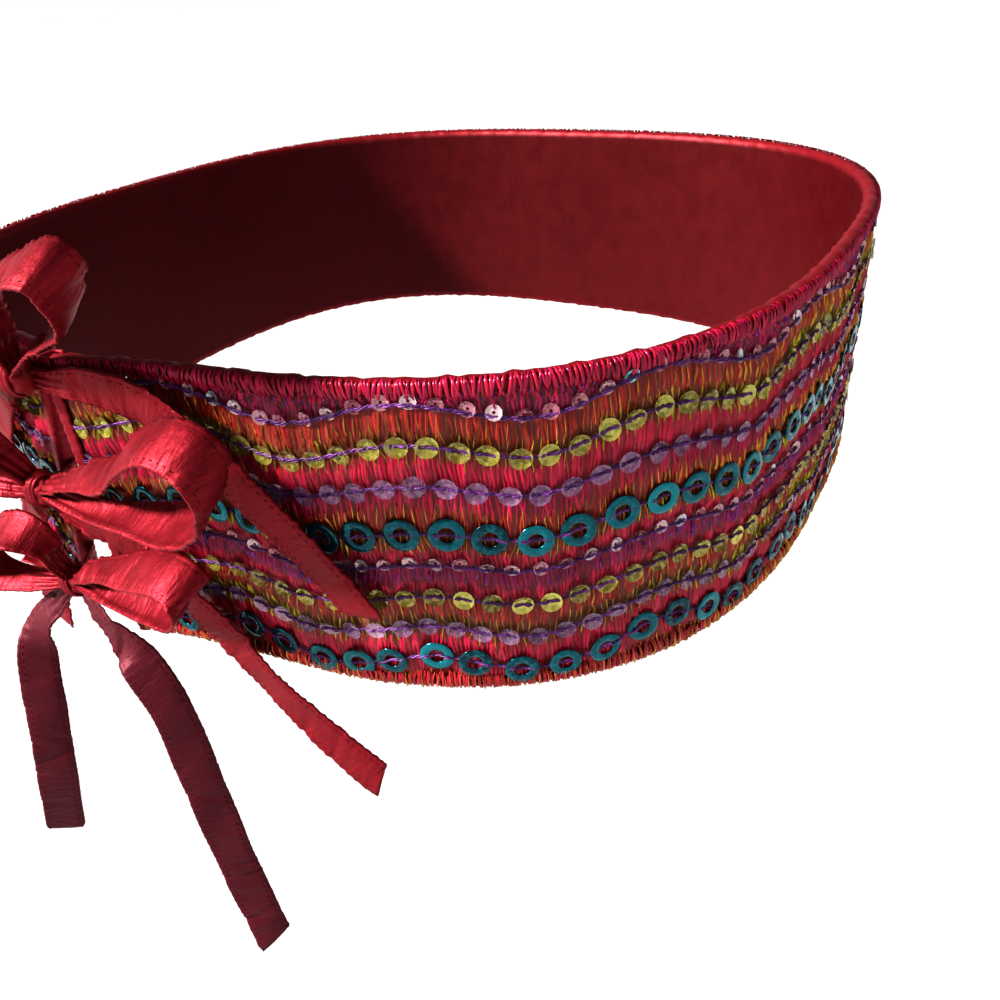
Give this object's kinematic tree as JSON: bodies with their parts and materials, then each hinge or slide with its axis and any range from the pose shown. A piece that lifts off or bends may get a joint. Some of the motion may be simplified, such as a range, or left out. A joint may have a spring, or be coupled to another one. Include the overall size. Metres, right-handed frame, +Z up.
{
  "type": "sequin belt",
  "caption": "Wide embroidered sash belt with rows of sequins, worn round the hips and tied at the front with satin bows.",
  "frame": {"origin": "middle of the ring that the belt makes when worn, half way up its height", "axes": "+Z up along the wearer's body, -Y towards the front where the bows are, +X towards the wearer's left"},
  "size_m": [0.2786, 0.2974, 0.2207],
  "materials": {
    "embroidery": "dense metallic thread embroidery",
    "satin": "satin",
    "lining_satin": "satin"
  },
  "bodies": {
    "root": {"sash_panel": "embroidery", "sash_lining": "lining_satin", "end_binding_left": "satin", "end_binding_right": "satin", "top_knot": "satin", "top_strap_left": "satin", "top_strap_right": "satin", "top_loop_left": "satin", "top_loop_right": "satin", "top_tail_left": "satin", "top_tail_right": "satin", "middle_knot": "satin", "middle_strap_left": "satin", "middle_strap_right": "satin", "middle_loop_left": "satin", "middle_loop_right": "satin", "middle_tail_left": "satin", "middle_tail_right": "satin", "bottom_knot": "satin", "bottom_strap_left": "satin", "bottom_strap_right": "satin", "bottom_loop_left": "satin", "bottom_loop_right": "satin", "bottom_tail_left": "satin", "bottom_tail_right": "satin"}
  },
  "joints": []
}
